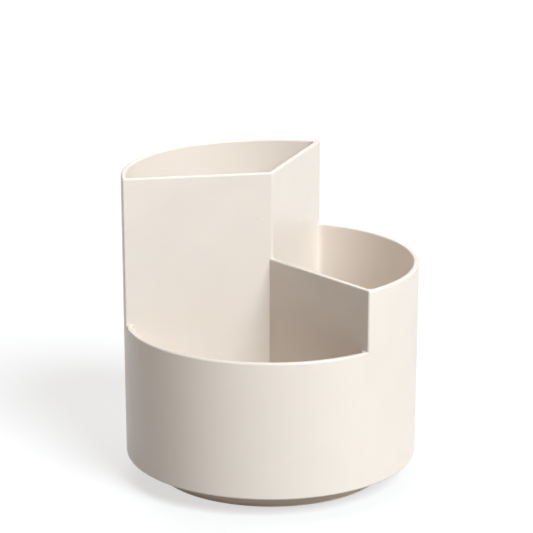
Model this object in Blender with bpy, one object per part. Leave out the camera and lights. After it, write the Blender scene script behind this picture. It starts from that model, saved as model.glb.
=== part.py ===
"""Rotating desk organizer: a three-compartment cup that turns on a ball race above a small round base.

Metres, +Z up. The origin is on the spin axis, on the surface that the four foot pads stand on.
From the bottom up: foot pads, base, balls in their cage, cup. A screw and a washer hold the cup down.
"""

import math

import bmesh
import bpy
from mathutils import Matrix, Vector

# Cup, seen from outside
CUP_RADIUS = 0.0575  # outer radius at the bottom edge
CUP_DRAFT = 0.0005  # how much the outer radius grows up to the tall rim
TALL_HEIGHT = 0.1130  # rims above the cup's bottom edge
MID_HEIGHT = 0.0784
LOW_HEIGHT = 0.0544
WALL = 0.0021
DIVIDER = 0.0020
FIRST_DIVIDER = math.radians(190)  # between the tall and the low compartment
RIM_ROUND = 0.0008  # rounding of every rim edge, where the walls are thick enough
BOTTOM_ROUND = 0.0008  # rounding of the cup's bottom edge
POCKET_CORNER = 0.0020  # upright inner corners, where a divider meets the wall
CUP_FLOOR = 0.0020
SKIRT_DEPTH = 0.0030  # how far the wall hangs below the underside of the cup's floor

# Base
BASE_INSET = 0.0116  # base side inside the cup's outer wall
BASE_FLOOR = 0.0022
BASE_WALL = 0.0020
BASE_WALL_GAP = 0.0016  # top of the base's wall to the underside of the cup's floor
BASE_ROUND = 0.0006

# Ball race
RACE_INSET = 0.0159  # circle of the balls' centres inside the base's side
BALL_RADIUS = 0.0025
BALL_COUNT = 12
RACE_LAND = 0.0013  # material behind each groove
RACE_MARGIN = 0.0012  # race and cage beyond the ball, each side
CAGE_THICKNESS = 0.0016
CAGE_GAP = 0.0006  # cage to each race

# Pivot
BOSS_RADIUS = 0.0045
BOSS_CLEARANCE = 0.0004
PIVOT_PLAY = 0.0004  # end play between the washer and the base
SHOULDER = 0.0020
SCREW_RADIUS = 0.0015
SCREW_HEAD_RADIUS = 0.0028
SCREW_HEAD_HEIGHT = 0.0018
SCREW_HEAD_RECESS = 0.0006  # screw head above the base's underside
SCREW_CROWN = SCREW_HEAD_RADIUS / 3  # bevel of the head's rim
SCREW_TIP_RADIUS = SCREW_RADIUS / 3
SCREW_TIP_ROOM = 0.0005  # screw hole beyond the tip
SCREW_COVER = 0.0015  # material between the screw hole and the pockets
DRIVE_WIDTH = 0.0008
DRIVE_LENGTH = 0.0034
DRIVE_DEPTH = 0.0010
WASHER_RADIUS = 0.0070
WASHER_THICKNESS = 0.0008
WASHER_CLEARANCE = 0.0008

# Foot pads
FOOT_COUNT = 4
FOOT_RADIUS = 0.0050
FOOT_THICKNESS = 0.0016
FOOT_DROP = 0.0008  # base's underside above the table
FOOT_INSET = 0.0099  # foot centres inside the base's side

GAP = 0.0003  # between two pieces that touch
STATION_STEP = math.radians(5)  # facets of the round pieces
FINE_STEP = math.radians(10)
SHARP = math.radians(40)  # faces that meet at more than this are shaded as an edge
RIM_SHARE = 0.40  # the most of a wall that one edge's rounding may take
WELD = 1e-7  # corners nearer than this are one
CORNER_PIECES = 3  # straight pieces that each small curve is drawn with
BOTTOM_PIECES = 3
BASE_EDGE_PIECES = 2
RIM_PIECES = 2
GROOVE_PIECES = 6
BALL_SEGMENTS = 12
BALL_RINGS = 8
SECTOR = math.radians(120)
HALF_PI = math.pi / 2
FULL_TURN = 2 * math.pi

# Heights above the table, from the bottom up
BASE_BOTTOM = FOOT_DROP
BASE_DECK = BASE_BOTTOM + BASE_FLOOR
BALL_HEIGHT = BASE_DECK + RACE_LAND + GAP + BALL_RADIUS
CEILING = BALL_HEIGHT + BALL_RADIUS + GAP + RACE_LAND  # underside of the cup's floor
CUP_BOTTOM = CEILING - SKIRT_DEPTH
POCKET_FLOOR = CEILING + CUP_FLOOR
LOW_RIM = CUP_BOTTOM + LOW_HEIGHT
MID_RIM = CUP_BOTTOM + MID_HEIGHT
TALL_RIM = CUP_BOTTOM + TALL_HEIGHT
HEAD_BOTTOM = BASE_BOTTOM + SCREW_HEAD_RECESS
HEAD_TOP = HEAD_BOTTOM + SCREW_HEAD_HEIGHT
WASHER_BOTTOM = HEAD_TOP + GAP
WASHER_TOP = WASHER_BOTTOM + WASHER_THICKNESS
BOSS_BOTTOM = WASHER_TOP + GAP
SHOULDER_BOTTOM = WASHER_TOP + PIVOT_PLAY
HOLE_END = POCKET_FLOOR - SCREW_COVER
SCREW_TIP = HOLE_END - SCREW_TIP_ROOM

# Radii that follow
BASE_RADIUS = CUP_RADIUS - BASE_INSET
RACE_RADIUS = BASE_RADIUS - RACE_INSET
GROOVE_RADIUS = BALL_RADIUS + GAP
RACE_HALF_WIDTH = GROOVE_RADIUS + RACE_MARGIN
RACE_LIP = CAGE_THICKNESS / 2 + CAGE_GAP  # race faces above and below the ball centres
COUNTERBORE = WASHER_RADIUS + WASHER_CLEARANCE
RIM_WIDTH = min(RIM_ROUND, min(WALL, DIVIDER) * RIM_SHARE)


# Shapes


def polar(radius, azimuth, height):
    return Vector((radius * math.cos(azimuth), radius * math.sin(azimuth), height))


def wall_radius(height):
    """The cup's outer radius at a height above the table."""
    return CUP_RADIUS + CUP_DRAFT * (height - CUP_BOTTOM) / TALL_HEIGHT


def on_face(azimuth, side, radius, height):
    """Where a divider's face reaches a radius. Side is +1 on its left, looking outwards, or -1 on its right."""
    offset = side * DIVIDER / 2
    along = math.sqrt(radius * radius - offset * offset)
    turned = math.atan2(offset, along)
    return polar(radius, azimuth + turned, height)


def stations(start, end, step):
    """The multiples of a step between two azimuths, leaving out any within a third of a step of an end."""
    first = math.ceil((start + step / 3) / step)
    last = math.floor((end - step / 3) / step)
    return [index * step for index in range(first, last + 1)]


def arc(centre_x, centre_y, radius, start, end, pieces):
    """Points along an arc, both ends among them."""
    points = []
    for index in range(pieces + 1):
        angle = start + (end - start) * index / pieces
        points.append((centre_x + radius * math.cos(angle), centre_y + radius * math.sin(angle)))
    return points


def mesh_object(name, faces, material):
    """One object from polygons that share corner positions, with its normals facing out."""
    shape = bmesh.new()
    for corners in faces:
        shape.faces.new([shape.verts.new(corner) for corner in corners])
    bmesh.ops.remove_doubles(shape, verts=shape.verts, dist=WELD)
    bmesh.ops.recalc_face_normals(shape, faces=shape.faces)
    mesh = bpy.data.meshes.new(name)
    shape.to_mesh(mesh)
    shape.free()
    mesh.shade_smooth()
    mesh.set_sharp_from_angle(angle=SHARP)
    mesh.materials.append(material)
    obj = bpy.data.objects.new(name, mesh)
    bpy.context.scene.collection.objects.link(obj)
    return obj


def turned_faces(profile, azimuths):
    """Quads between neighbouring points of an open (radius, height) profile, all the way round."""
    faces = []
    for (radius_a, height_a), (radius_b, height_b) in zip(profile, profile[1:]):
        for index, azimuth in enumerate(azimuths):
            following = azimuths[(index + 1) % len(azimuths)]
            faces.append(
                [
                    polar(radius_a, azimuth, height_a),
                    polar(radius_b, azimuth, height_b),
                    polar(radius_b, following, height_b),
                    polar(radius_a, following, height_a),
                ]
            )
    return faces


def turned_object(name, profile, material, step=STATION_STEP, caps=()):
    """A turned solid. Its profile closes on itself, or ends in flat caps at the profile's ends."""
    azimuths = stations(0, FULL_TURN, step) + [0]
    faces = turned_faces(profile, azimuths)
    for radius, height in caps:
        faces.append([polar(radius, azimuth, height) for azimuth in azimuths])
    return mesh_object(name, faces, material)


def closed(profile):
    return profile + profile[:1]


def plastic(name, colour, roughness, metallic=0.0):
    material = bpy.data.materials.new(name)
    material.use_nodes = True
    shader = material.node_tree.nodes["Principled BSDF"]
    shader.inputs["Base Color"].default_value = (*colour, 1)
    shader.inputs["Roughness"].default_value = roughness
    shader.inputs["Metallic"].default_value = metallic
    return material


def cut(obj, cutter):
    """Cuts one object from another, and leaves the cutter out of the model."""
    modifier = obj.modifiers.new("Cut", "BOOLEAN")
    modifier.operation = "DIFFERENCE"
    modifier.solver = "EXACT"
    modifier.object = cutter
    cutter.hide_render = True
    cutter.display_type = "WIRE"


# Cup

TALL_DIVIDER = FIRST_DIVIDER + 2 * SECTOR  # between the middle and the tall compartment
MID_DIVIDER = FIRST_DIVIDER + SECTOR  # between the low and the middle compartment
HUB_REACH = DIVIDER / 2 / math.sin(SECTOR / 2)  # axis to each corner where two divider faces meet


def hub_corner(divider, height):
    """The corner between this divider's left face and the next divider's right face."""
    return polar(HUB_REACH, divider + SECTOR / 2, height)


def pocket_arc_start():
    """Azimuth, from a divider, at which the rounded corner of a pocket runs into the wall."""
    inner = CUP_RADIUS - WALL - POCKET_CORNER
    return math.asin((DIVIDER / 2 + POCKET_CORNER) / inner)


def corner_points(divider, side, height):
    """The rounded upright corner of a pocket, from the divider's face to the wall."""
    inner = wall_radius(height) - WALL - POCKET_CORNER
    offset = DIVIDER / 2 + POCKET_CORNER
    turn = math.asin(offset / inner)
    centre = polar(inner, divider + side * turn, height)
    sweep = HALF_PI + turn
    points = []
    for index in range(CORNER_PIECES + 1):
        angle = divider - side * HALF_PI + side * sweep * index / CORNER_PIECES
        points.append(centre + polar(POCKET_CORNER, angle, 0))
    return points


def pocket_wall(divider, height):
    """Points along a pocket's outer wall between its two rounded corners."""
    start = divider + pocket_arc_start()
    end = divider + SECTOR - pocket_arc_start()
    radius = wall_radius(height) - WALL
    return [polar(radius, azimuth, height) for azimuth in stations(start, end, STATION_STEP)]


def pocket_loop(divider, height):
    """A pocket's outline at a height: hub corner, corner, wall, corner."""
    first = corner_points(divider, 1, height)
    last = corner_points(divider + SECTOR, -1, height)
    return [hub_corner(divider, height)] + first + pocket_wall(divider, height) + last[::-1]


def bands(lower, upper, closed_loop):
    """Quads between two outlines with the same number of points."""
    count = len(lower) if closed_loop else len(lower) - 1
    faces = []
    for index in range(count):
        following = (index + 1) % len(lower)
        faces.append([lower[index], lower[following], upper[following], upper[index]])
    return faces


def outer_arc(start, end, height):
    """The cup's outside at a height, between two divider faces given as (divider, side)."""
    radius = wall_radius(height)
    between = stations(start[0], end[0], STATION_STEP)
    middle = [polar(radius, azimuth, height) for azimuth in between]
    return [on_face(*start, radius, height)] + middle + [on_face(*end, radius, height)]


# The faces at which the outer wall steps from one rim height to the next
LOW_START = (FIRST_DIVIDER, 1)
LOW_END = (MID_DIVIDER, -1)
MID_END = (TALL_DIVIDER, -1)
TALL_END = (FIRST_DIVIDER + FULL_TURN, 1)
ARCS = ((LOW_START, LOW_END, 1), (LOW_END, MID_END, 2), (MID_END, TALL_END, 3))
RIMS = (LOW_RIM, MID_RIM, TALL_RIM)


def outside_faces():
    """The outer wall, in a band for each rim height that it reaches."""
    wall_start = CUP_BOTTOM + BOTTOM_ROUND
    levels = (wall_start,) + RIMS
    faces = []
    for start, end, reach in ARCS:
        for level in range(reach):
            lower = outer_arc(start, end, levels[level])
            upper = outer_arc(start, end, levels[level + 1])
            faces += bands(lower, upper, False)
    return faces


def rim_ring(outer, divider, height):
    """The flat top of a wall between its outer arc and a pocket, in quads with a fan at each end."""
    first = corner_points(divider, 1, height)
    last = corner_points(divider + SECTOR, -1, height)[::-1]
    inner = pocket_wall(divider, height)
    skip = len(outer) - 2 - len(inner)
    lead = skip // 2
    faces = bands(outer[lead + 1 : lead + 1 + len(inner)], inner, False)
    faces.append(first + [inner[0]] + outer[: lead + 2][::-1])
    faces.append([inner[-1]] + last + outer[lead + len(inner) :][::-1])
    return faces


def rim_faces():
    """The three flat rims and the tops of the dividers."""
    faces = []
    for (start, end, _), divider, height in zip(ARCS, (FIRST_DIVIDER, MID_DIVIDER, TALL_DIVIDER), RIMS):
        faces += rim_ring(outer_arc(start, end, height), divider, height)
    mid_outer = on_face(*LOW_END, wall_radius(MID_RIM), MID_RIM)
    faces.append(
        [
            hub_corner(FIRST_DIVIDER, MID_RIM),
            mid_outer,
            corner_points(MID_DIVIDER, 1, MID_RIM)[0],
            hub_corner(MID_DIVIDER, MID_RIM),
            front_corner(MID_RIM),
        ]
    )
    tall_start = on_face(*MID_END, wall_radius(TALL_RIM), TALL_RIM)
    tall_end = on_face(*TALL_END, wall_radius(TALL_RIM), TALL_RIM)
    back = hub_corner(TALL_DIVIDER, TALL_RIM)
    front = front_corner(TALL_RIM)
    faces.append([front, back, corner_points(TALL_DIVIDER, 1, TALL_RIM)[0], tall_start])
    faces.append([front, back, corner_points(FIRST_DIVIDER, -1, TALL_RIM)[0], tall_end])
    return faces


def front_corner(height):
    """The upright edge where the two tall dividers meet, above the middle divider."""
    return polar(HUB_REACH, MID_DIVIDER, height)


def step_faces():
    """The divider faces that stand above a lower rim, out to the cup's outside."""
    faces = []
    low_hub = [hub_corner(FIRST_DIVIDER, height) for height in (LOW_RIM, MID_RIM)]
    mid_hub = hub_corner(MID_DIVIDER, MID_RIM)
    front = [front_corner(height) for height in (MID_RIM, TALL_RIM)]
    outer = {}
    for face in (LOW_START, LOW_END, MID_END):
        outer[face] = [on_face(*face, wall_radius(height), height) for height in RIMS]
    low_corner = corner_points(FIRST_DIVIDER, 1, LOW_RIM)[0]
    mid_corner = corner_points(MID_DIVIDER, -1, LOW_RIM)[0]
    tall_corner = corner_points(TALL_DIVIDER, -1, MID_RIM)[0]
    faces.append([low_hub[0], low_corner, outer[LOW_START][0], outer[LOW_START][1], low_hub[1]])
    faces.append([front[0], low_hub[1], outer[LOW_START][1], outer[LOW_START][2], front[1]])
    faces.append([low_hub[0], mid_corner, outer[LOW_END][0], outer[LOW_END][1], low_hub[1]])
    faces.append([front[0], mid_hub, tall_corner, outer[MID_END][1], outer[MID_END][2], front[1]])
    return faces


def pocket_faces():
    """Floor and walls of the three pockets, each up to its own rim."""
    faces = []
    for divider, height in zip((FIRST_DIVIDER, MID_DIVIDER, TALL_DIVIDER), RIMS):
        bottom = pocket_loop(divider, POCKET_FLOOR)
        faces.append(bottom)
        faces += bands(bottom, pocket_loop(divider, height), True)
    return faces


def groove(height, opening):
    """A race groove round the ball circle. Opening is +1 where it opens upwards, -1 downwards."""
    half = math.acos(RACE_LIP / GROOVE_RADIUS)
    start = -opening * HALF_PI + half
    return arc(RACE_RADIUS, height, GROOVE_RADIUS, start, start - 2 * half, GROOVE_PIECES)


def race(deck, opening):
    """Profile of a raised race with its groove, from its outer side to its inner side."""
    lip = BALL_HEIGHT - opening * RACE_LIP
    curve = groove(BALL_HEIGHT, opening)
    curve.sort(reverse=True)
    outer = RACE_RADIUS + RACE_HALF_WIDTH
    inner = RACE_RADIUS - RACE_HALF_WIDTH
    return [(outer, deck), (outer, lip)] + curve + [(inner, lip), (inner, deck)]


def underside_profile():
    """The cup's bottom edge, skirt, race and boss, from the outer wall to the screw hole's end."""
    start = CUP_BOTTOM + BOTTOM_ROUND
    edge = arc(CUP_RADIUS - BOTTOM_ROUND, start, BOTTOM_ROUND, 0, -HALF_PI, BOTTOM_PIECES)
    skirt = CUP_RADIUS - WALL
    hole = SCREW_RADIUS + GAP
    return (
        edge
        + [(skirt, CUP_BOTTOM), (skirt, CEILING)]
        + race(CEILING, -1)
        + [(BOSS_RADIUS, CEILING), (BOSS_RADIUS, BOSS_BOTTOM), (hole, BOSS_BOTTOM)]
        + [(hole, HOLE_END)]
    )


def underside_faces():
    start = CUP_BOTTOM + BOTTOM_ROUND
    ring = []
    for first, last, _ in ARCS:
        ring += outer_arc(first, last, start)[:-1]
    azimuths = [math.atan2(point.y, point.x) for point in ring]
    profile = underside_profile()
    faces = turned_faces([(wall_radius(start), start)] + profile[1:], azimuths)
    end_radius, end_height = profile[-1]
    faces.append([polar(end_radius, azimuth, end_height) for azimuth in azimuths])
    return faces


def room_beside_step(point):
    """The rounding that fits beside a taller divider, where a pocket's rounded corner leaves its face.

    Each face is given with the rim that it rises above. The corner leaves the face at a tangent, so the
    rim there narrows to nothing.
    """
    room = RIM_WIDTH
    for (azimuth, side), rim in ((LOW_START, LOW_RIM), (LOW_END, LOW_RIM), (MID_END, MID_RIM)):
        across = side * (point.y * math.cos(azimuth) - point.x * math.sin(azimuth)) - DIVIDER / 2
        along = point.x * math.cos(azimuth) + point.y * math.sin(azimuth)
        beside = along > 0 and -WELD < across < POCKET_CORNER - WELD
        if beside and abs(point.z - rim) < WELD:
            room = min(room, POCKET_CORNER * across / (POCKET_CORNER - across))
    return max(room, 0)


def round_rims(obj):
    """Rounds the rims, the step ends and the pockets' floor edges."""
    shape = bmesh.new()
    shape.from_mesh(obj.data)
    weight = shape.edges.layers.float.new("bevel_weight_edge")
    for edge in shape.edges:
        low = min(vert.co.z for vert in edge.verts)
        high = max(vert.co.z for vert in edge.verts)
        sharp = edge.calc_face_angle(0) > SHARP
        rim = sharp and edge.is_convex and low > LOW_RIM - GAP
        floor_edge = sharp and abs(low - POCKET_FLOOR) < GAP and abs(high - POCKET_FLOOR) < GAP
        if not rim and not floor_edge:
            continue
        inner = max(vert.co.xy.length for vert in edge.verts) < CUP_RADIUS - WALL / 2
        room = min(room_beside_step(vert.co) for vert in edge.verts) if inner else RIM_WIDTH
        edge[weight] = room / RIM_WIDTH
    shape.to_mesh(obj.data)
    shape.free()
    bevel = obj.modifiers.new("Rim rounding", "BEVEL")
    bevel.limit_method = "WEIGHT"
    bevel.width = RIM_WIDTH
    bevel.segments = RIM_PIECES
    bevel.use_clamp_overlap = False


def make_cup(material):
    faces = outside_faces() + underside_faces() + pocket_faces() + rim_faces() + step_faces()
    cup = mesh_object("cup", faces, material)
    round_rims(cup)
    return cup


# Base


def base_profile():
    """The base, from the counterbore's mouth round its outside and over its race and hub."""
    start = BASE_BOTTOM + BASE_ROUND
    edge = arc(BASE_RADIUS - BASE_ROUND, start, BASE_ROUND, -HALF_PI, 0, BASE_EDGE_PIECES)
    wall_top = CEILING - BASE_WALL_GAP
    inside = BASE_RADIUS - BASE_WALL
    hub = COUNTERBORE + BASE_WALL
    hub_top = SHOULDER_BOTTOM + SHOULDER
    bore = BOSS_RADIUS + BOSS_CLEARANCE
    return (
        [(COUNTERBORE, BASE_BOTTOM)]
        + edge
        + [(BASE_RADIUS, wall_top), (inside, wall_top), (inside, BASE_DECK)]
        + race(BASE_DECK, 1)
        + [(hub, BASE_DECK), (hub, hub_top), (bore, hub_top), (bore, SHOULDER_BOTTOM)]
        + [(COUNTERBORE, SHOULDER_BOTTOM)]
    )


def foot_places():
    circle = BASE_RADIUS - FOOT_INSET
    turn = FULL_TURN / FOOT_COUNT
    return [polar(circle, turn * (index + 0.5), 0) for index in range(FOOT_COUNT)]


def disc_faces(radius, bottom, top, centre, step=FINE_STEP):
    azimuths = stations(0, FULL_TURN, step) + [0]
    rings = [[polar(radius, a, height) + centre for a in azimuths] for height in (bottom, top)]
    return [rings[0], rings[1]] + bands(rings[0], rings[1], True)


def make_base(material):
    base = turned_object("base_disc", closed(base_profile()), material)
    faces = []
    for place in foot_places():
        faces += disc_faces(FOOT_RADIUS + GAP, BASE_BOTTOM - GAP, FOOT_THICKNESS + GAP, place)
    cut(base, mesh_object("foot_recess_cutter", faces, material))
    return base


def make_feet(material):
    for index, place in enumerate(foot_places()):
        faces = disc_faces(FOOT_RADIUS, 0, FOOT_THICKNESS, Vector((0, 0, 0)))
        foot = mesh_object(f"foot_pad_{index + 1}", faces, material)
        foot.location = place


# Balls and cage


def ball_places():
    turn = FULL_TURN / BALL_COUNT
    return [polar(RACE_RADIUS, turn * index, BALL_HEIGHT) for index in range(BALL_COUNT)]


def ball_mesh(name, radius, material, places):
    shape = bmesh.new()
    for place in places:
        bmesh.ops.create_uvsphere(
            shape,
            u_segments=BALL_SEGMENTS,
            v_segments=BALL_RINGS,
            radius=radius,
            matrix=Matrix.Translation(place),
        )
    mesh = bpy.data.meshes.new(name)
    shape.to_mesh(mesh)
    shape.free()
    mesh.shade_smooth()
    mesh.materials.append(material)
    return mesh


def make_balls(material):
    shared = ball_mesh("bearing_ball", BALL_RADIUS, material, [Vector((0, 0, 0))])
    for index, place in enumerate(ball_places()):
        ball = bpy.data.objects.new(f"bearing_ball_{index + 1:02d}", shared)
        ball.location = place
        bpy.context.scene.collection.objects.link(ball)


def make_cage(material):
    """A flat ring whose pockets are spherical, so that it carries the balls round with it."""
    half = CAGE_THICKNESS / 2
    outer = RACE_RADIUS + RACE_HALF_WIDTH
    inner = RACE_RADIUS - RACE_HALF_WIDTH
    profile = [
        (inner, BALL_HEIGHT - half),
        (outer, BALL_HEIGHT - half),
        (outer, BALL_HEIGHT + half),
        (inner, BALL_HEIGHT + half),
    ]
    cage = turned_object("ball_cage", closed(profile), material)
    mesh = ball_mesh("ball_pocket_cutter", GROOVE_RADIUS, material, ball_places())
    cutter = bpy.data.objects.new("ball_pocket_cutter", mesh)
    bpy.context.scene.collection.objects.link(cutter)
    cut(cage, cutter)


# Pivot


def make_washer(material):
    hole = SCREW_RADIUS + GAP
    profile = [
        (hole, WASHER_BOTTOM),
        (WASHER_RADIUS, WASHER_BOTTOM),
        (WASHER_RADIUS, WASHER_TOP),
        (hole, WASHER_TOP),
    ]
    turned_object("pivot_washer", closed(profile), material, FINE_STEP)


def make_screw(material):
    """A pan-head screw, with a cross drive in its head."""
    profile = [
        (SCREW_HEAD_RADIUS - SCREW_CROWN, HEAD_BOTTOM),
        (SCREW_HEAD_RADIUS, HEAD_BOTTOM + SCREW_CROWN),
        (SCREW_HEAD_RADIUS, HEAD_TOP),
        (SCREW_RADIUS, HEAD_TOP),
        (SCREW_RADIUS, SCREW_TIP - SCREW_RADIUS),
        (SCREW_TIP_RADIUS, SCREW_TIP),
    ]
    screw = turned_object("pivot_screw", profile, material, FINE_STEP, (profile[0], profile[-1]))
    long = DRIVE_LENGTH / 2
    thin = DRIVE_WIDTH / 2
    outline = []
    for quarter in range(4):
        turn = Matrix.Rotation(quarter * HALF_PI, 3, "Z")
        for x, y in ((long, -thin), (long, thin), (thin, thin)):
            outline.append(turn @ Vector((x, y, 0)))
    low = [point + Vector((0, 0, HEAD_BOTTOM - GAP)) for point in outline]
    high = [point + Vector((0, 0, HEAD_BOTTOM + DRIVE_DEPTH)) for point in outline]
    cut(screw, mesh_object("drive_cutter", [low, high] + bands(low, high, True), material))


def main():
    for obj in list(bpy.data.objects):
        bpy.data.objects.remove(obj)
    cream = plastic("cream_plastic", (0.80, 0.73, 0.64), 0.42)
    shaded_cream = plastic("base_plastic", (0.62, 0.54, 0.46), 0.5)
    natural = plastic("cage_plastic", (0.86, 0.86, 0.82), 0.45)
    steel = plastic("ball_steel", (0.72, 0.72, 0.74), 0.15, 1.0)
    zinc = plastic("zinc_steel", (0.62, 0.63, 0.64), 0.35, 1.0)
    rubber = plastic("foot_rubber", (0.05, 0.05, 0.05), 0.8)
    make_cup(cream)
    make_base(shaded_cream)
    make_cage(natural)
    make_balls(steel)
    make_washer(zinc)
    make_screw(zinc)
    make_feet(rubber)


main()
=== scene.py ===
"""Visual model of a rotating desk organizer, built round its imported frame.

Metres, +Z up. From the bottom up: foot pads, base, balls in their cage, and a cup with three pockets.
A screw and a washer hold the cup down on the balls, and it turns about the Z axis.
"""

import math

import bmesh
import bpy
from bpy.props import FloatProperty, FloatVectorProperty, IntProperty, PointerProperty
from mathutils import Matrix, Vector


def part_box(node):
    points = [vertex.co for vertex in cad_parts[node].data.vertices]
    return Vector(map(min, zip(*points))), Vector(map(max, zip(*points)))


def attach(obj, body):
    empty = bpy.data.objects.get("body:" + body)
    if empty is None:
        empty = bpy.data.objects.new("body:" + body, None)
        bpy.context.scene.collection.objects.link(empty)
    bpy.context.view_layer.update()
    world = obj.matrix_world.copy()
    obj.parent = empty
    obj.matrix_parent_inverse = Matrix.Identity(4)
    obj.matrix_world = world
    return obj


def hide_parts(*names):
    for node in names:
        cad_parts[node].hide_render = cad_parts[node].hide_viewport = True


bl_info = {
    "name": "Rotating desk organizer",
    "version": (1, 0, 0),
    "blender": (4, 5, 0),
    "location": "3D View > Sidebar > Organizer",
    "description": "Builds a rotating desk organizer and its studio around the packed frame",
    "category": "Object",
}

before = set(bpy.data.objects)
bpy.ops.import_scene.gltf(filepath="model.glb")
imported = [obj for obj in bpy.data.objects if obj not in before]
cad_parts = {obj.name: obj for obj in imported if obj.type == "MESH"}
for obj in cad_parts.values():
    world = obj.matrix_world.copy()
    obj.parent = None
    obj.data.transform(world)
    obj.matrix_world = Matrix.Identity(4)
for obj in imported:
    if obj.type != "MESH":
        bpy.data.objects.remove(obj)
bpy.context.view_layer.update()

HALF_PI = math.pi / 2
FULL_TURN = 2 * math.pi
POCKETS = 3
SECTOR = math.radians(120)
SHARP = math.radians(38)  # faces that meet at more than this have an edge between them
WELD = 1e-7  # corners nearer than this are one

# Heights and radii that the frame already fixes
TALL_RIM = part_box("cup")[1].z
BASE_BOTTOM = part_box("base_disc")[0].z
BASE_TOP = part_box("base_disc")[1].z
BASE_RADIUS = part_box("base_disc")[1].x
BALL_HEIGHT = sum(corner.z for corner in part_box("ball_cage")) / 2
CAGE_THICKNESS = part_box("ball_cage")[1].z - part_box("ball_cage")[0].z
CAGE_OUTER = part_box("ball_cage")[1].x
BALL_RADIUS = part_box("bearing_ball_01")[1].z - BALL_HEIGHT
BOSS_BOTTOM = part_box("cup")[0].z
WASHER_BOTTOM, WASHER_TOP = (corner.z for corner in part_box("pivot_washer"))
WASHER_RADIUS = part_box("pivot_washer")[1].x
HEAD_BOTTOM, SCREW_TIP = (corner.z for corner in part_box("pivot_screw"))
HEAD_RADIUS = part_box("pivot_screw")[1].x
FOOT_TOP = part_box("foot_pad_1")[1].z
BALLS = sorted(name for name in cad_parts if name.startswith("bearing_ball_"))
FEET = sorted(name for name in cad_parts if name.startswith("foot_pad_"))

# Fittings inside the base
RACE_MARGIN = 0.0012  # race beyond its groove, each side
BOSS_RADIUS = 0.0045
BOSS_ROOM = 0.0004  # between the boss and the base's bore
END_PLAY = 0.0004  # between the washer and the base's shoulder
SHOULDER = 0.0020
WASHER_ROOM = 0.0008  # between the washer's rim and its counterbore
SCREW_RADIUS = 0.0015
SCREW_TIP_RADIUS = SCREW_RADIUS / 3
SCREW_TIP_ROOM = 0.0005  # screw hole beyond the tip
SCREW_CROWN = 0.0009  # rounding of the head's rim
DRIVE_DEPTH = 0.0010
DRIVE_MOUTH = (0.0018, 0.00045)  # half the length and half the width of the drive's cross
DRIVE_END = (0.0011, 0.00032)

# Rounding of the smaller pieces' edges
BASE_EDGE = 0.00025
CAGE_EDGE = 0.0002
WASHER_EDGE = 0.00015
SCREW_EDGE = 0.0001
FOOT_EDGE = 0.0003
LEAST_SHARE = 0.1  # a rim edge with room for less of its rounding than this stays sharp

# Straight pieces that each round shape is drawn with
BASE_FACETS = 144
CAGE_FACETS = 144
WASHER_FACETS = 96
SCREW_FACETS = 64
FOOT_FACETS = 48
BALL_FACETS = 32
BALL_ROWS = 16
GROOVE_PIECES = 10
CORNER_PIECES = 3
ARC_PIECES = 6

# Finishes
FLOW_SHADE = 0.965  # plastic along its flow marks, at its edges where a highlight is painted, and under dust, as a share of its colour
# The edges' paler colour is a painted highlight, given as a share of the plastic's colour
EDGE_HIGHLIGHT_SHARE = 1.08
DUST_SHADE = 0.6
EDGE_POLISH = 0.07  # how much less rough an edge is
RING_SHADE = (0.80, 0.76, 0.72)
POLISHED = 0.12  # roughness of the balls, and of the screw and washer
PLATED = 0.34
STEEL_TONES = (0.60, 0.61, 0.62), (0.72, 0.72, 0.71)
STEEL_SPECK = (0.35, 0.34, 0.32)
RUBBER_WEAR = 2.2  # rubbed rubber, as a share of its colour
RUBBER_DUST = (0.3, 0.29, 0.27)

# Studio
FRAME_WIDTH = 36  # in mm, as the lens is
FLOOR_RADIUS = 4.0
FLOOR_FACETS = 96
FLOOR_TONES = (0.36, 0.365, 0.37), (0.38, 0.385, 0.39)
FLOOR_GLOW = (0.62, 0.62, 0.62)
BOUNCE_COLOUR = (1, 0.92, 0.85)
SKY_COLOUR = (1, 0.89, 0.84)
BACKDROP = (0.86, 0.86, 0.86)
# Each light's azimuth, elevation and spread in degrees, and its colour
LIGHTS = {
    "key": (-50, 41, 32, (0.92, 0.975, 1)),
    "fill": (40, 35, 60, (0.97, 0.985, 1)),
    "back": (100, 38, 40, (1, 0.985, 0.96)),
}


def middle(node):
    """The centre of a node's box."""
    low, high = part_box(node)
    return (low + high) / 2


# Sizes and colours


def length(name, description, default):
    return FloatProperty(name=name, description=description, default=default, unit="LENGTH", precision=5)


def tint(name, description, default):
    return FloatVectorProperty(
        name=name, description=description, default=default, subtype="COLOR", min=0, max=1
    )


class OrganizerSizes(bpy.types.PropertyGroup):
    cup_radius: length("Cup radius", "Outer radius of the cup at its bottom edge", 0.0575)
    draft: length("Draft", "Growth of the outer radius up to the tall rim", 0.0005)
    tall: length("Tall rim", "Tall rim above the cup's bottom edge", 0.1130)
    mid: length("Middle rim", "Middle rim above the cup's bottom edge", 0.0784)
    low: length("Low rim", "Low rim above the cup's bottom edge", 0.0544)
    wall: length("Wall", "Thickness of the cup's outer wall", 0.0021)
    divider: length("Divider", "Thickness of the dividers", 0.0020)
    rim_round: length("Rim rounding", "Rounding of every rim edge", 0.0008)
    bottom_round: length("Bottom rounding", "Rounding of the cup's bottom edge", 0.0008)
    pocket_corner: length("Pocket corner", "Radius of the upright corners inside the pockets", 0.0020)
    floor: length("Floor", "Thickness of the pockets' floors", 0.0020)
    skirt: length("Skirt", "Cup wall below the underside of the floors", 0.0030)
    first_divider: FloatProperty(
        name="First divider",
        description="Azimuth of the divider between the tall and the low pocket",
        default=math.radians(190),
        subtype="ANGLE",
    )
    base_wall: length("Base wall", "Thickness of the base's side wall", 0.0020)
    base_floor: length("Base floor", "Thickness of the base's floor", 0.0022)
    base_round: length("Base rounding", "Rounding of the base's bottom edge", 0.0006)
    gap: length("Gap", "Clearance between pieces that touch", 0.0003)
    facets: IntProperty(name="Facets", description="Facets round the cup", default=72, min=36)


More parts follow.
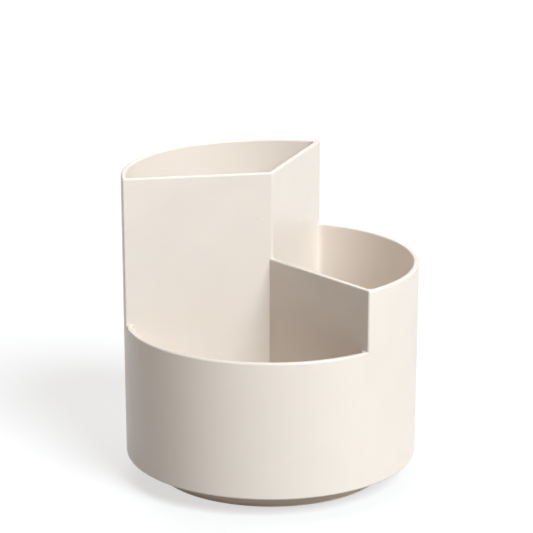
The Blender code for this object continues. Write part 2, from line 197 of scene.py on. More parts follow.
class OrganizerLooks(bpy.types.PropertyGroup):
    cream: tint("Cream", "Colour of the cup's plastic", (0.88, 0.80, 0.725))
    # The base's colour is the cup's plastic made brighter and warmer: painted light, standing in for the
    # floor's bounce and the warm shade under the cup
    base_cream: tint("Base cream", "Colour of the base's plastic", (0.98, 0.85, 0.73))
    natural: tint("Natural", "Colour of the ball cage", (0.84, 0.83, 0.79))
    rubber: tint("Rubber", "Colour of the foot pads", (0.035, 0.035, 0.037))
    gloss: FloatProperty(name="Roughness", description="Roughness of the cup's plastic", default=0.36)


class OrganizerStudio(bpy.types.PropertyGroup):
    key: FloatProperty(name="Key", description="Strength of the key light", default=3.38)
    fill: FloatProperty(name="Fill", description="Strength of the fill light at the side", default=0.35)
    back: FloatProperty(name="Back", description="Strength of the light behind", default=1.1)
    sky: FloatProperty(name="Sky", description="Brightness of the surroundings", default=0.18)
    bounce: FloatProperty(name="Bounce", description="Light that the floor throws back up", default=0.34)
    lens: FloatProperty(name="Lens", description="Focal length in mm on a 36 mm frame", default=155.3)
    distance: length("Distance", "Camera to the spin axis, level with the table", 0.8637)
    height: length("Height", "Camera above the cup's bottom edge", 0.3266)
    pitch: FloatProperty(
        name="Pitch", description="Camera below level", default=math.radians(16.24), subtype="ANGLE"
    )
    swing: FloatProperty(
        name="Swing",
        description="Camera's turn round the axis",
        default=math.radians(-0.4),
        subtype="ANGLE",
    )
    pan: FloatProperty(
        name="Pan", description="Camera's turn off the axis", default=math.radians(0.109), subtype="ANGLE"
    )


# Shapes


def polar(radius, azimuth, height=0.0):
    return Vector((radius * math.cos(azimuth), radius * math.sin(azimuth), height))


def stations(start, end, step):
    """The multiples of a step between two azimuths, leaving out any within a third of a step of an end."""
    first = math.ceil((start + step / 3) / step)
    last = math.floor((end - step / 3) / step)
    return [index * step for index in range(first, last + 1)]


def arc(radius_centre, height_centre, radius, start, end, pieces=ARC_PIECES):
    """Points along an arc in a profile, both ends among them."""
    points = []
    for index in range(pieces + 1):
        angle = start + (end - start) * index / pieces
        points.append((radius_centre + radius * math.cos(angle), height_centre + radius * math.sin(angle)))
    return points


def bands(lower, upper, closed_loop=True):
    """Quads between two outlines with the same number of points."""
    count = len(lower) if closed_loop else len(lower) - 1
    faces = []
    for index in range(count):
        following = (index + 1) % len(lower)
        faces.append([lower[index], lower[following], upper[following], upper[index]])
    return faces


def turned_faces(profile, azimuths):
    """Quads between neighbouring points of a (radius, height) profile, all the way round."""
    rings = [[polar(radius, azimuth, height) for azimuth in azimuths] for radius, height in profile]
    faces = []
    for lower, upper in zip(rings, rings[1:]):
        faces += bands(lower, upper)
    return faces


def even_azimuths(count):
    return [FULL_TURN * index / count for index in range(count)]


def make_piece(name, faces, material, body=None, nodes=()):
    """A piece from polygons that share corner positions, riding on a body in place of CAD nodes."""
    shape = bmesh.new()
    for corners in faces:
        shape.faces.new([shape.verts.new(corner) for corner in corners])
    bmesh.ops.remove_doubles(shape, verts=shape.verts, dist=WELD)
    bmesh.ops.recalc_face_normals(shape, faces=shape.faces)
    mesh = bpy.data.meshes.new(name)
    shape.to_mesh(mesh)
    shape.free()
    mesh.shade_smooth()
    mesh.set_sharp_from_angle(angle=SHARP)
    mesh.materials.append(material)
    piece = bpy.data.objects.new(name, mesh)
    bpy.context.scene.collection.objects.link(piece)
    if body:
        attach(piece, body)
        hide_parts(*nodes)
    return piece


def cut(piece, cutter):
    """Cuts a shape from a piece, then throws the cutter away."""
    modifier = piece.modifiers.new("Cut", "BOOLEAN")
    modifier.operation = "DIFFERENCE"
    modifier.solver = "EXACT"
    modifier.object = cutter
    settle(piece)
    bpy.data.objects.remove(cutter)


def settle(piece):
    """Replaces a piece's mesh by what its modifiers make of it."""
    graph = bpy.context.evaluated_depsgraph_get()
    mesh = bpy.data.meshes.new_from_object(piece.evaluated_get(graph), depsgraph=graph)
    old = piece.data
    piece.modifiers.clear()
    piece.data = mesh
    mesh.name = piece.name
    bpy.data.meshes.remove(old)


def soften(piece, width, segments=3, limit="ANGLE"):
    """Rounds a piece's sharp edges, and keeps its flat faces shaded flat."""
    bevel = piece.modifiers.new("Rounding", "BEVEL")
    bevel.limit_method = limit
    bevel.angle_limit = SHARP
    bevel.width = width
    bevel.segments = segments
    bevel.use_clamp_overlap = limit == "ANGLE"
    settle(piece)
    piece.data.shade_smooth()
    piece.data.set_sharp_from_angle(angle=SHARP)
    piece.modifiers.new("Flat faces", "WEIGHTED_NORMAL").keep_sharp = True
    settle(piece)


# Cup


class CupPlan:
    """The cup's outlines at any height. Pockets are numbered low, middle, tall, anticlockwise."""

    def __init__(self, sizes):
        self.sizes = sizes
        self.step = FULL_TURN / sizes.facets
        self.bottom = TALL_RIM - sizes.tall
        self.rims = (self.bottom + sizes.low, self.bottom + sizes.mid, TALL_RIM)
        self.dividers = [sizes.first_divider + SECTOR * index for index in range(POCKETS)]
        self.hub = sizes.divider / 2 / math.sin(SECTOR / 2)
        low, mid, tall = self.dividers
        # Each stretch of outer wall: the divider faces it runs between, and how many rims up it reaches
        self.arcs = (
            ((low, 1), (mid, -1), 1),
            ((mid, -1), (tall, -1), 2),
            ((tall, -1), (low + FULL_TURN, 1), 3),
        )

    def radius(self, height):
        """The cup's outer radius at a height above the table."""
        return self.sizes.cup_radius + self.sizes.draft * (height - self.bottom) / self.sizes.tall

    def on_face(self, face, height):
        """Where a divider's face, as (azimuth, side), meets the cup's outside."""
        azimuth, side = face
        offset = side * self.sizes.divider / 2
        along = math.sqrt(self.radius(height) ** 2 - offset**2)
        return polar(self.radius(height), azimuth + math.atan2(offset, along), height)

    def outer_arc(self, start, end, height):
        between = stations(start[0], end[0], self.step)
        points = [polar(self.radius(height), azimuth, height) for azimuth in between]
        return [self.on_face(start, height)] + points + [self.on_face(end, height)]

    def hub_corner(self, pocket, height):
        """A pocket's corner at the hub. Pocket 3 is the low one again."""
        return polar(self.hub, self.dividers[pocket % POCKETS] + SECTOR / 2, height)

    def front_corner(self, height):
        """The upright edge where the two tall dividers meet."""
        return polar(self.hub, self.dividers[1], height)

    def corner(self, divider, side, height):
        """The rounded upright corner of a pocket, from the divider's face to the wall."""
        bend = self.sizes.pocket_corner
        reach = self.radius(height) - self.sizes.wall - bend
        turn = math.asin((self.sizes.divider / 2 + bend) / reach)
        azimuth = self.dividers[divider % POCKETS]
        centre = polar(reach, azimuth + side * turn, height)
        points = []
        for index in range(CORNER_PIECES + 1):
            angle = azimuth - side * HALF_PI + side * (HALF_PI + turn) * index / CORNER_PIECES
            points.append(centre + polar(bend, angle))
        return points

    def wall_arc(self, pocket, height):
        """A pocket's outer wall between its two rounded corners."""
        reach = self.sizes.cup_radius - self.sizes.wall - self.sizes.pocket_corner
        turn = math.asin((self.sizes.divider / 2 + self.sizes.pocket_corner) / reach)
        start = self.dividers[pocket] + turn
        end = self.dividers[pocket] + SECTOR - turn
        radius = self.radius(height) - self.sizes.wall
        return [polar(radius, azimuth, height) for azimuth in stations(start, end, self.step)]

    def rounding_share(self, point):
        """How much of the rim's rounding fits at a point.

        Beside a taller divider, a pocket's rounded corner leaves the divider's face at a tangent, so the
        rim there narrows to nothing.
        """
        bend = self.sizes.pocket_corner
        room = self.sizes.rim_round
        if point.xy.length > self.sizes.cup_radius - self.sizes.wall / 2:
            return 1.0
        low_rim, mid_rim, _ = self.rims
        low_face, mid_face, tall_face = (face for face, _, _ in self.arcs)
        for (azimuth, side), rim in ((low_face, low_rim), (mid_face, low_rim), (tall_face, mid_rim)):
            across = side * (point.y * math.cos(azimuth) - point.x * math.sin(azimuth))
            across -= self.sizes.divider / 2
            beside = point.dot(polar(1, azimuth)) > 0 and -WELD < across < bend - WELD
            if beside and abs(point.z - rim) < WELD:
                room = min(room, bend * max(across, 0) / (bend - across))
        return room / self.sizes.rim_round

    def pocket_loop(self, pocket, height):
        first = self.corner(pocket, 1, height)
        last = self.corner(pocket + 1, -1, height)[::-1]
        return [self.hub_corner(pocket, height)] + first + self.wall_arc(pocket, height) + last


def outside_faces(plan):
    """The outer wall, in a band for each rim that it reaches."""
    levels = (plan.bottom + plan.sizes.bottom_round,) + plan.rims
    faces = []
    for start, end, reach in plan.arcs:
        for lower, upper in list(zip(levels, levels[1:]))[:reach]:
            faces += bands(plan.outer_arc(start, end, lower), plan.outer_arc(start, end, upper), False)
    return faces


def rim_faces(plan):
    """The flat rims, in quads with a many-sided face at each end."""
    faces = []
    for pocket, ((start, end, _), height) in enumerate(zip(plan.arcs, plan.rims)):
        outer = plan.outer_arc(start, end, height)
        inner = plan.wall_arc(pocket, height)
        lead = (len(outer) - 2 - len(inner)) // 2
        first = plan.corner(pocket, 1, height)
        last = plan.corner(pocket + 1, -1, height)[::-1]
        faces += bands(outer[lead + 1 : lead + 1 + len(inner)], inner, False)
        faces.append(first + [inner[0]] + outer[: lead + 2][::-1])
        faces.append([inner[-1]] + last + outer[lead + len(inner) :][::-1])
    return faces


def divider_faces(plan):
    """The tops of the dividers, and their faces above a lower rim, out to the cup's outside."""
    low, mid, tall = plan.rims
    faces = [face for face, _, _ in plan.arcs]
    low_face, mid_face, tall_face = faces
    low_hub = [plan.hub_corner(0, height) for height in (low, mid)]
    mid_hub = plan.hub_corner(1, mid)
    tall_hub = plan.hub_corner(2, tall)
    front = [plan.front_corner(height) for height in (mid, tall)]
    rise = {face: [plan.on_face(face, height) for height in plan.rims] for face in faces}
    return [
        [low_hub[1], rise[mid_face][1], plan.corner(1, 1, mid)[0], mid_hub, front[0]],
        [front[1], tall_hub, plan.corner(2, 1, tall)[0], rise[tall_face][2]],
        [front[1], tall_hub, plan.corner(3, -1, tall)[0], rise[low_face][2]],
        [low_hub[0], plan.corner(0, 1, low)[0], rise[low_face][0], rise[low_face][1], low_hub[1]],
        [front[0], low_hub[1], rise[low_face][1], rise[low_face][2], front[1]],
        [low_hub[0], plan.corner(1, -1, low)[0], rise[mid_face][0], rise[mid_face][1], low_hub[1]],
        [front[0], mid_hub, plan.corner(2, -1, mid)[0], rise[tall_face][1], rise[tall_face][2], front[1]],
    ]


def pocket_faces(plan, floor_height):
    faces = []
    for pocket, height in enumerate(plan.rims):
        bottom = plan.pocket_loop(pocket, floor_height)
        faces.append(bottom)
        faces += bands(bottom, plan.pocket_loop(pocket, height))
    return faces


def race_profile(deck, opening, margin, gap):
    """A raised race with its groove, from its outer side to its inner side. Opening is +1 upwards."""
    groove = BALL_RADIUS + gap
    race = middle(BALLS[0]).xy.length
    cage_room = 2 * gap
    lip = CAGE_THICKNESS / 2 + cage_room
    half = math.acos(lip / groove)
    start = -opening * HALF_PI + half
    curve = arc(race, BALL_HEIGHT, groove, start, start - 2 * half, GROOVE_PIECES)
    curve.sort(reverse=True)
    level = BALL_HEIGHT - opening * lip
    outer = race + groove + margin
    inner = race - groove - margin
    return [(outer, deck), (outer, level)] + curve + [(inner, level), (inner, deck)]


def underside_faces(plan, ceiling):
    """Bottom edge, skirt, upper race and screw boss."""
    sizes = plan.sizes
    start = plan.bottom + sizes.bottom_round
    ring = []
    for first, last, _ in plan.arcs:
        ring += plan.outer_arc(first, last, start)[:-1]
    azimuths = [math.atan2(point.y, point.x) for point in ring]
    edge = arc(sizes.cup_radius - sizes.bottom_round, start, sizes.bottom_round, 0, -HALF_PI)
    skirt = sizes.cup_radius - sizes.wall
    hole = SCREW_RADIUS + sizes.gap
    profile = (
        [(plan.radius(start), start)]
        + edge[1:]
        + [(skirt, plan.bottom), (skirt, ceiling)]
        + race_profile(ceiling, -1, RACE_MARGIN, sizes.gap)
        + [(BOSS_RADIUS, ceiling), (BOSS_RADIUS, BOSS_BOTTOM), (hole, BOSS_BOTTOM)]
        + [(hole, SCREW_TIP + SCREW_TIP_ROOM)]
    )
    faces = turned_faces(profile, azimuths)
    faces.append([polar(profile[-1][0], azimuth, profile[-1][1]) for azimuth in azimuths])
    return faces


def weigh_rims(plan, piece, floor_height):
    """Marks the rims, the step ends and the pockets' floor edges for rounding."""
    shape = bmesh.new()
    shape.from_mesh(piece.data)
    weight = shape.edges.layers.float.new("bevel_weight_edge")
    gap = plan.sizes.gap
    for edge in shape.edges:
        heights = [vert.co.z for vert in edge.verts]
        sharp = edge.calc_face_angle(0) > SHARP
        rim = sharp and edge.is_convex and min(heights) > plan.rims[0] - gap
        at_floor = sharp and all(abs(height - floor_height) < gap for height in heights)
        if rim or at_floor:
            share = min(plan.rounding_share(vert.co) for vert in edge.verts)
            edge[weight] = share if share > LEAST_SHARE else 0
    shape.to_mesh(piece.data)
    shape.free()


class ORGANIZER_OT_cup(bpy.types.Operator):
    """Build the three-pocket cup"""

    bl_idname = "organizer.cup"
    bl_label = "Cup"

    def execute(self, context):
        sizes = context.scene.organizer_sizes
        plan = CupPlan(sizes)
        ceiling = plan.bottom + sizes.skirt
        floor_height = ceiling + sizes.floor
        faces = outside_faces(plan) + rim_faces(plan) + divider_faces(plan)
        faces += pocket_faces(plan, floor_height) + underside_faces(plan, ceiling)
        material = cream_plastic("cup_cream", context.scene.organizer_looks.cream)
        cup = make_piece("cup_shell", faces, material, "cup", ["cup"])
        weigh_rims(plan, cup, floor_height)
        soften(cup, sizes.rim_round, 4, "WEIGHT")
        return {"FINISHED"}


# Base


def base_profile(sizes):
    """The base, from the counterbore's mouth round its outside and over its race and hub."""
    bend = sizes.base_round
    deck = BASE_BOTTOM + sizes.base_floor
    edge = arc(BASE_RADIUS - bend, BASE_BOTTOM + bend, bend, -HALF_PI, 0)
    inside = BASE_RADIUS - sizes.base_wall
    counterbore = WASHER_RADIUS + WASHER_ROOM
    shoulder = WASHER_TOP + END_PLAY
    hub_top = shoulder + SHOULDER
    hub = counterbore + sizes.base_wall
    bore = BOSS_RADIUS + BOSS_ROOM
    return (
        [(counterbore, BASE_BOTTOM)]
        + edge
        + [(BASE_RADIUS, BASE_TOP), (inside, BASE_TOP), (inside, deck)]
        + race_profile(deck, 1, RACE_MARGIN, sizes.gap)
        + [(hub, deck), (hub, hub_top), (bore, hub_top), (bore, shoulder)]
        + [(counterbore, shoulder), (counterbore, BASE_BOTTOM)]
    )


def disc_faces(radius, bottom, top, centre):
    rings = []
    for height in (bottom, top):
        rings.append([polar(radius, azimuth, height) + centre for azimuth in even_azimuths(FOOT_FACETS)])
    return rings + bands(*rings)


class ORGANIZER_OT_base(bpy.types.Operator):
    """Build the round base"""

    bl_idname = "organizer.base"
    bl_label = "Base"

    def execute(self, context):
        sizes = context.scene.organizer_sizes
        # Painted light: the base's plastic is brighter and warmer than the cup's, standing in for the
        # bounce and the warm shade under the cup
        material = cream_plastic("base_cream", context.scene.organizer_looks.base_cream)
        add_rings(material)
        faces = turned_faces(base_profile(sizes), even_azimuths(BASE_FACETS))
        base = make_piece("base_shell", faces, material, "base", ["base_disc"])
        holes = []
        for foot in FEET:
            centre = middle(foot)
            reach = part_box(foot)[1].x - centre.x + sizes.gap
            centre.z = 0
            holes += disc_faces(reach, BASE_BOTTOM - sizes.gap, FOOT_TOP + sizes.gap, centre)
        cut(base, make_piece("foot_recesses", holes, material))
        soften(base, BASE_EDGE, 2)
        return {"FINISHED"}


# Bearing


def sphere_faces(radius, centre):
    """A ball, from rings between two caps at its poles."""
    azimuths = even_azimuths(BALL_FACETS)
    rings = []
    for row in range(1, BALL_ROWS):
        angle = math.pi * row / BALL_ROWS
        reach = radius * math.sin(angle)
        height = radius * math.cos(angle)
        rings.append([centre + polar(reach, azimuth, height) for azimuth in azimuths])
    faces = []
    for upper, lower in zip(rings, rings[1:]):
        faces += bands(upper, lower)
    for ring, pole in ((rings[0], radius), (rings[-1], -radius)):
        tip = centre + Vector((0, 0, pole))
        for index, point in enumerate(ring):
            faces.append([tip, point, ring[(index + 1) % len(ring)]])
    return faces


class ORGANIZER_OT_bearing(bpy.types.Operator):
    """Build the balls and their cage"""

    bl_idname = "organizer.bearing"
    bl_label = "Bearing"

    def execute(self, context):
        sizes = context.scene.organizer_sizes
        steel = bright_steel("ball_steel_polished", POLISHED)
        for node in BALLS:
            faces = sphere_faces(BALL_RADIUS, middle(node))
            make_piece(node + "_polished", faces, steel, "cage", [node])
        natural = cream_plastic("cage_natural", context.scene.organizer_looks.natural)
        inner = 2 * middle(BALLS[0]).xy.length - CAGE_OUTER
        low = BALL_HEIGHT - CAGE_THICKNESS / 2
        high = BALL_HEIGHT + CAGE_THICKNESS / 2
        profile = [(inner, low), (CAGE_OUTER, low), (CAGE_OUTER, high), (inner, high), (inner, low)]
        faces = turned_faces(profile, even_azimuths(CAGE_FACETS))
        cage = make_piece("cage_ring", faces, natural, "cage", ["ball_cage"])
        pockets = []
        for node in BALLS:
            pockets += sphere_faces(BALL_RADIUS + sizes.gap, middle(node))
        cut(cage, make_piece("ball_pockets", pockets, natural))
        soften(cage, CAGE_EDGE, 2)
        return {"FINISHED"}


# Pivot


def screw_faces(gap):
    """A pan head with a domed crown, a shank and a tapered tip."""
    head_top = WASHER_BOTTOM - gap
    profile = arc(HEAD_RADIUS - SCREW_CROWN, HEAD_BOTTOM + SCREW_CROWN, SCREW_CROWN, -HALF_PI, 0)
    profile += [(HEAD_RADIUS, head_top), (SCREW_RADIUS, head_top)]
    profile += [(SCREW_RADIUS, SCREW_TIP - SCREW_RADIUS), (SCREW_TIP_RADIUS, SCREW_TIP)]
    azimuths = even_azimuths(SCREW_FACETS)
    faces = turned_faces(profile, azimuths)
    for radius, height in (profile[0], profile[-1]):
        faces.append([polar(radius, azimuth, height) for azimuth in azimuths])
    return faces


def drive_faces(gap):
    """A cross whose arms narrow towards the bottom of the drive."""
    loops = []
    for height, (long, thin) in ((HEAD_BOTTOM - gap, DRIVE_MOUTH), (HEAD_BOTTOM + DRIVE_DEPTH, DRIVE_END)):
        outline = []
        for quarter in range(4):
            turn = Matrix.Rotation(quarter * HALF_PI, 3, "Z")
            for x, y in ((long, -thin), (long, thin), (thin, thin)):
                outline.append(turn @ Vector((x, y, height)))
        loops.append(outline)
    return loops + bands(*loops)


class ORGANIZER_OT_pivot(bpy.types.Operator):
    """Build the screw and washer that hold the cup to its base"""

    bl_idname = "organizer.pivot"
    bl_label = "Pivot"

    def execute(self, context):
        gap = context.scene.organizer_sizes.gap
        zinc = bright_steel("zinc_plate", PLATED)
        hole = SCREW_RADIUS + gap
        profile = [(hole, WASHER_BOTTOM), (WASHER_RADIUS, WASHER_BOTTOM)]
        profile += [(WASHER_RADIUS, WASHER_TOP), (hole, WASHER_TOP), (hole, WASHER_BOTTOM)]
        faces = turned_faces(profile, even_azimuths(WASHER_FACETS))
        washer = make_piece("washer_plate", faces, zinc, "cup", ["pivot_washer"])
        soften(washer, WASHER_EDGE, 2)
        screw = make_piece("screw_body", screw_faces(gap), zinc, "cup", ["pivot_screw"])
        cut(screw, make_piece("drive", drive_faces(gap), zinc))
        soften(screw, SCREW_EDGE, 2)
        return {"FINISHED"}


# Feet


class ORGANIZER_OT_feet(bpy.types.Operator):
    """Build the rubber foot pads"""

    bl_idname = "organizer.feet"
    bl_label = "Feet"

    def execute(self, context):
        rubber = rubber_material("foot_rubber_black", context.scene.organizer_looks.rubber)
        for node in FEET:
            centre = middle(node)
            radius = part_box(node)[1].x - centre.x
            centre.z = 0
            faces = disc_faces(radius, 0, FOOT_TOP, centre)
            pad = make_piece(node + "_pad", faces, rubber, "base", [node])
            soften(pad, FOOT_EDGE)
        return {"FINISHED"}


# Materials


def new_group(name, inputs, outputs):
    """An empty shader node group with float inputs, given as (name, default), and named outputs."""
    group = bpy.data.node_groups.new(name, "ShaderNodeTree")
    for label, default in inputs:
        socket = group.interface.new_socket(label, in_out="INPUT", socket_type="NodeSocketFloat")
        socket.default_value = default
    for label in outputs:
        group.interface.new_socket(label, in_out="OUTPUT", socket_type="NodeSocketFloat")
    return group


def add_node(tree, kind, **settings):
    node = tree.nodes.new(kind)
    for name, value in settings.items():
        setattr(node, name, value)
    return node


def feed(tree, value, socket):
    """Sets a socket to a number or a colour, or links another socket to it."""
    if isinstance(value, bpy.types.NodeSocket):
        tree.links.new(value, socket)
    elif isinstance(value, (int, float)):
        socket.default_value = value
    else:
        socket.default_value = (*value, 1)


def noise(tree, place, scale, detail):
    """A noise mask over the piece's own coordinates, with features of about 1 / scale metres."""
    texture = add_node(tree, "ShaderNodeTexNoise")
    feed(tree, scale, texture.inputs["Scale"])
    feed(tree, detail, texture.inputs["Detail"])
    tree.links.new(place.outputs["Object"], texture.inputs["Vector"])
    return texture.outputs["Fac"]


def remap(tree, source, low, high, to_low=0.0, to_high=1.0):
    """Stretches what lies between low and high over another range."""
    node = add_node(tree, "ShaderNodeMapRange")
    for label, value in (("From Min", low), ("From Max", high), ("To Min", to_low), ("To Max", to_high)):
        node.inputs[label].default_value = value
    tree.links.new(source, node.inputs["Value"])
    return node.outputs["Result"]


def combine(tree, operation, first, second):
    node = add_node(tree, "ShaderNodeMath", operation=operation)
    for socket, value in zip(node.inputs, (first, second)):
        feed(tree, value, socket)
    return node.outputs[0]


def moulded_surface():
    """Marks that the finishes share: fine texture, flow marks, smears, edges and specks of dust."""
    name = "moulded_surface"
    if name in bpy.data.node_groups:
        return bpy.data.node_groups[name]
    inputs = (("Texture Scale", 3200.0), ("Flow Scale", 38.0), ("Speck Amount", 1.0))
    group = new_group(name, inputs, ("Flow", "Specks", "Texture", "Smear", "Edges"))
    source = add_node(group, "NodeGroupInput")
    target = add_node(group, "NodeGroupOutput")
    place = add_node(group, "ShaderNodeTexCoord")
    flow = noise(group, place, source.outputs["Flow Scale"], 3.0)
    group.links.new(remap(group, flow, 0.3, 0.7), target.inputs["Flow"])
    texture = noise(group, place, source.outputs["Texture Scale"], 1.0)
    group.links.new(texture, target.inputs["Texture"])
    smear = noise(group, place, 120.0, 4.0)
    group.links.new(smear, target.inputs["Smear"])
    shape = add_node(group, "ShaderNodeNewGeometry")
    edges = remap(group, shape.outputs["Pointiness"], 0.51, 0.56)
    group.links.new(edges, target.inputs["Edges"])
    dust = add_node(group, "ShaderNodeTexVoronoi", feature="F1")
    dust.inputs["Scale"].default_value = 170.0
    group.links.new(place.outputs["Object"], dust.inputs["Vector"])
    dots = remap(group, dust.outputs["Distance"], 0.02, 0.034, 1.0, 0.0)
    sparse = noise(group, place, 55.0, 0.0)
    chosen = remap(group, sparse, 0.60, 0.64)
    specks = combine(group, "MULTIPLY", dots, chosen)
    specks = combine(group, "MULTIPLY", specks, source.outputs["Speck Amount"])
    group.links.new(specks, target.inputs["Specks"])
    return group


def principled(name):
    material = bpy.data.materials.new(name)
    material.use_nodes = True
    return material, material.node_tree, material.node_tree.nodes["Principled BSDF"]


def mix_colours(tree, amount, first, second):
    """The first colour where the amount is 0, and the second where it is 1."""
    node = add_node(tree, "ShaderNodeMix", data_type="RGBA")
    tree.links.new(amount, node.inputs["Factor"])
    for label, value in (("A", first), ("B", second)):
        socket = next(item for item in node.inputs if item.name == label and item.type == "RGBA")
        feed(tree, value, socket)
    return next(item for item in node.outputs if item.type == "RGBA")


def add_bump(tree, shader, height, strength, distance):
    bump = add_node(tree, "ShaderNodeBump")
    bump.inputs["Strength"].default_value = strength
    bump.inputs["Distance"].default_value = distance
    tree.links.new(height, bump.inputs["Height"])
    tree.links.new(bump.outputs["Normal"], shader.inputs["Normal"])


def cream_plastic(name, colour):
    """Satin moulded plastic that drifts in colour, with a painted highlight along its edges, edges less
    rough than the rest, and a little dust.
    """
    looks = bpy.context.scene.organizer_looks
    material, tree, shader = principled(name)
    surface = add_node(tree, "ShaderNodeGroup", node_tree=moulded_surface())
    deeper = [part * FLOW_SHADE for part in colour]
    flowing = mix_colours(tree, surface.outputs["Flow"], colour, deeper)
    # Painted highlight: the edges are paler, standing in for the light that the rounded edges catch
    painted_highlight = [min(part * EDGE_HIGHLIGHT_SHARE, 1) for part in colour]
    edge_highlit = mix_colours(tree, surface.outputs["Edges"], flowing, painted_highlight)
    dusty = mix_colours(tree, surface.outputs["Specks"], edge_highlit, [part * DUST_SHADE for part in colour])
    tree.links.new(dusty, shader.inputs["Base Color"])
    rough = remap(tree, surface.outputs["Smear"], 0.3, 0.7, looks.gloss - 0.04, looks.gloss + 0.05)
    rubbed = combine(tree, "MULTIPLY", surface.outputs["Edges"], -EDGE_POLISH)
    tree.links.new(combine(tree, "ADD", rough, rubbed), shader.inputs["Roughness"])
    shader.inputs["IOR"].default_value = 1.5
    shader.inputs["Subsurface Weight"].default_value = 0.06
    shader.inputs["Subsurface Radius"].default_value = (0.0022, 0.0015, 0.0009)
    shader.inputs["Subsurface Scale"].default_value = 1.0
    add_bump(tree, shader, surface.outputs["Texture"], 0.25, 0.00004)
    return material


def add_rings(material):
    """Fine level rings, as a turned mould leaves them."""
    tree = material.node_tree
    coloured = tree.nodes["Principled BSDF"].inputs["Base Color"]
    place = add_node(tree, "ShaderNodeTexCoord")
    parts = add_node(tree, "ShaderNodeSeparateXYZ")
    tree.links.new(place.outputs["Object"], parts.inputs["Vector"])
    rings = add_node(tree, "ShaderNodeTexNoise", noise_dimensions="1D")
    rings.inputs["Scale"].default_value = 900.0
    rings.inputs["Detail"].default_value = 2.0
    tree.links.new(parts.outputs["Z"], rings.inputs["W"])
    lines = remap(tree, rings.outputs["Fac"], 0.35, 0.65)
    shade = mix_colours(tree, lines, (1, 1, 1), RING_SHADE)
    ringed = add_node(tree, "ShaderNodeVectorMath", operation="MULTIPLY")
    tree.links.new(coloured.links[0].from_socket, ringed.inputs[0])
    tree.links.new(shade, ringed.inputs[1])
    tree.links.new(ringed.outputs["Vector"], coloured)


def bright_steel(name, roughness):
    """Plated or polished steel with a faint grain and a few dark specks."""
    material, tree, shader = principled(name)
    surface = add_node(tree, "ShaderNodeGroup", node_tree=moulded_surface())
    surface.inputs["Texture Scale"].default_value = 900.0
    surface.inputs["Speck Amount"].default_value = 0.4
    toned = mix_colours(tree, surface.outputs["Smear"], *STEEL_TONES)
    spotted = mix_colours(tree, surface.outputs["Specks"], toned, STEEL_SPECK)
    tree.links.new(spotted, shader.inputs["Base Color"])
    rough = remap(tree, surface.outputs["Texture"], 0.3, 0.7, roughness * 0.8, roughness * 1.3)
    tree.links.new(rough, shader.inputs["Roughness"])
    shader.inputs["Metallic"].default_value = 1.0
    add_bump(tree, shader, surface.outputs["Texture"], 0.1, 0.00002)
    return material


def rubber_material(name, colour):
    """Matte rubber with a pebbled face and a little dust."""
    material, tree, shader = principled(name)
    surface = add_node(tree, "ShaderNodeGroup", node_tree=moulded_surface())
    surface.inputs["Texture Scale"].default_value = 1400.0
    worn = mix_colours(tree, surface.outputs["Smear"], colour, [part * RUBBER_WEAR for part in colour])
    dusty = mix_colours(tree, surface.outputs["Specks"], worn, RUBBER_DUST)
    tree.links.new(dusty, shader.inputs["Base Color"])
    rough = remap(tree, surface.outputs["Smear"], 0.3, 0.7, 0.72, 0.88)
    tree.links.new(rough, shader.inputs["Roughness"])
    add_bump(tree, shader, surface.outputs["Texture"], 0.5, 0.0001)
    return material


# Studio


def soft_sun(name, strength, azimuth, elevation, spread, colour):
    """A broad, distant softbox. The azimuth and elevation, in degrees, are those it shines from."""
    data = bpy.data.lights.new(name, "SUN")
    data.energy = strength
    data.angle = math.radians(spread)
    data.color = colour
    light = bpy.data.objects.new(name, data)
    bpy.context.scene.collection.objects.link(light)
    tilt = math.radians(elevation)
    source = polar(math.cos(tilt), math.radians(azimuth), math.sin(tilt))
    light.rotation_euler = source.to_track_quat("Z", "Y").to_euler()


def make_floor(bounce):
    """A pale floor that runs far past the view, glows a little, and is clear from below."""
    material, tree, shader = principled("pale_floor")
    place = add_node(tree, "ShaderNodeTexCoord")
    cloud = noise(tree, place, 2.5, 2.0)
    tone = mix_colours(tree, cloud, *FLOOR_TONES)
    thrown = add_node(tree, "ShaderNodeLightPath").outputs["Is Diffuse Ray"]
    colour = mix_colours(tree, thrown, tone, [part * bounce for part in BOUNCE_COLOUR])
    tree.links.new(colour, shader.inputs["Base Color"])
    glow = mix_colours(tree, thrown, FLOOR_GLOW, (0, 0, 0))
    tree.links.new(glow, shader.inputs["Emission Color"])
    shader.inputs["Emission Strength"].default_value = 1.0
    shader.inputs["Roughness"].default_value = 0.9
    below = add_node(tree, "ShaderNodeNewGeometry").outputs["Backfacing"]
    tree.links.new(combine(tree, "SUBTRACT", 1.0, below), shader.inputs["Alpha"])
    faces = [[polar(FLOOR_RADIUS, azimuth) for azimuth in even_azimuths(FLOOR_FACETS)]]
    floor = make_piece("studio_floor", faces, material)


def make_camera(studio, cup_bottom):
    data = bpy.data.cameras.new("camera")
    data.sensor_width = FRAME_WIDTH
    data.lens = studio.lens
    data.clip_start = 0.01
    camera = bpy.data.objects.new("camera", data)
    bpy.context.scene.collection.objects.link(camera)
    turn = Matrix.Rotation(studio.swing, 4, "Z")
    place = Matrix.Translation((0, -studio.distance, studio.height + cup_bottom))
    aim = Matrix.Rotation(studio.pan, 4, "Z") @ Matrix.Rotation(HALF_PI - studio.pitch, 4, "X")
    camera.matrix_world = turn @ place @ aim
    bpy.context.scene.camera = camera


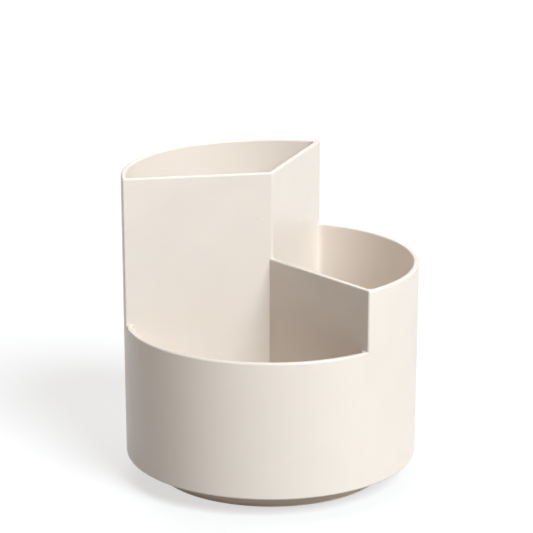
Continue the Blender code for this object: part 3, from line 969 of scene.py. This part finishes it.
def make_sky(strength):
    """A dim warm sky for the light, with a pale backdrop where the camera looks past the floor."""
    world = bpy.data.worlds.new("studio")
    world.use_nodes = True
    tree = world.node_tree
    looked_at = add_node(tree, "ShaderNodeLightPath").outputs["Is Camera Ray"]
    sky = mix_colours(tree, looked_at, [part * strength for part in SKY_COLOUR], BACKDROP)
    tree.links.new(sky, tree.nodes["Background"].inputs["Color"])
    bpy.context.scene.world = world


class ORGANIZER_OT_stage(bpy.types.Operator):
    """Set the floor, the lights and the camera"""

    bl_idname = "organizer.stage"
    bl_label = "Stage"

    def execute(self, context):
        studio = context.scene.organizer_studio
        make_floor(studio.bounce)
        make_sky(studio.sky)
        for name, setting in LIGHTS.items():
            soft_sun(name, getattr(studio, name), *setting)
        make_camera(studio, TALL_RIM - context.scene.organizer_sizes.tall)
        context.scene.view_settings.view_transform = "Standard"
        return {"FINISHED"}


# Panel


OPERATORS = (
    ORGANIZER_OT_cup,
    ORGANIZER_OT_base,
    ORGANIZER_OT_bearing,
    ORGANIZER_OT_pivot,
    ORGANIZER_OT_feet,
    ORGANIZER_OT_stage,
)
GROUPS = {
    "organizer_sizes": OrganizerSizes,
    "organizer_looks": OrganizerLooks,
    "organizer_studio": OrganizerStudio,
}


class ORGANIZER_PT_panel(bpy.types.Panel):
    """Lists the pieces and their sizes in the sidebar"""

    bl_label = "Desk organizer"
    bl_idname = "ORGANIZER_PT_panel"
    bl_space_type = "VIEW_3D"
    bl_region_type = "UI"
    bl_category = "Organizer"

    def draw(self, context):
        for operator in OPERATORS:
            self.layout.operator(operator.bl_idname)
        for name in GROUPS:
            column = self.layout.column()
            settings = getattr(context.scene, name)
            for key in settings.__annotations__:
                column.prop(settings, key)


def register():
    for item in (*GROUPS.values(), *OPERATORS, ORGANIZER_PT_panel):
        bpy.utils.register_class(item)
    for name, group in GROUPS.items():
        setattr(bpy.types.Scene, name, PointerProperty(type=group))


def unregister():
    for name in GROUPS:
        delattr(bpy.types.Scene, name)
    for item in reversed((*GROUPS.values(), *OPERATORS, ORGANIZER_PT_panel)):
        bpy.utils.unregister_class(item)


def main():
    register()
    for operator in OPERATORS:
        group, name = operator.bl_idname.split(".")
        getattr(getattr(bpy.ops, group), name)()


if __name__ == "__main__":
    main()
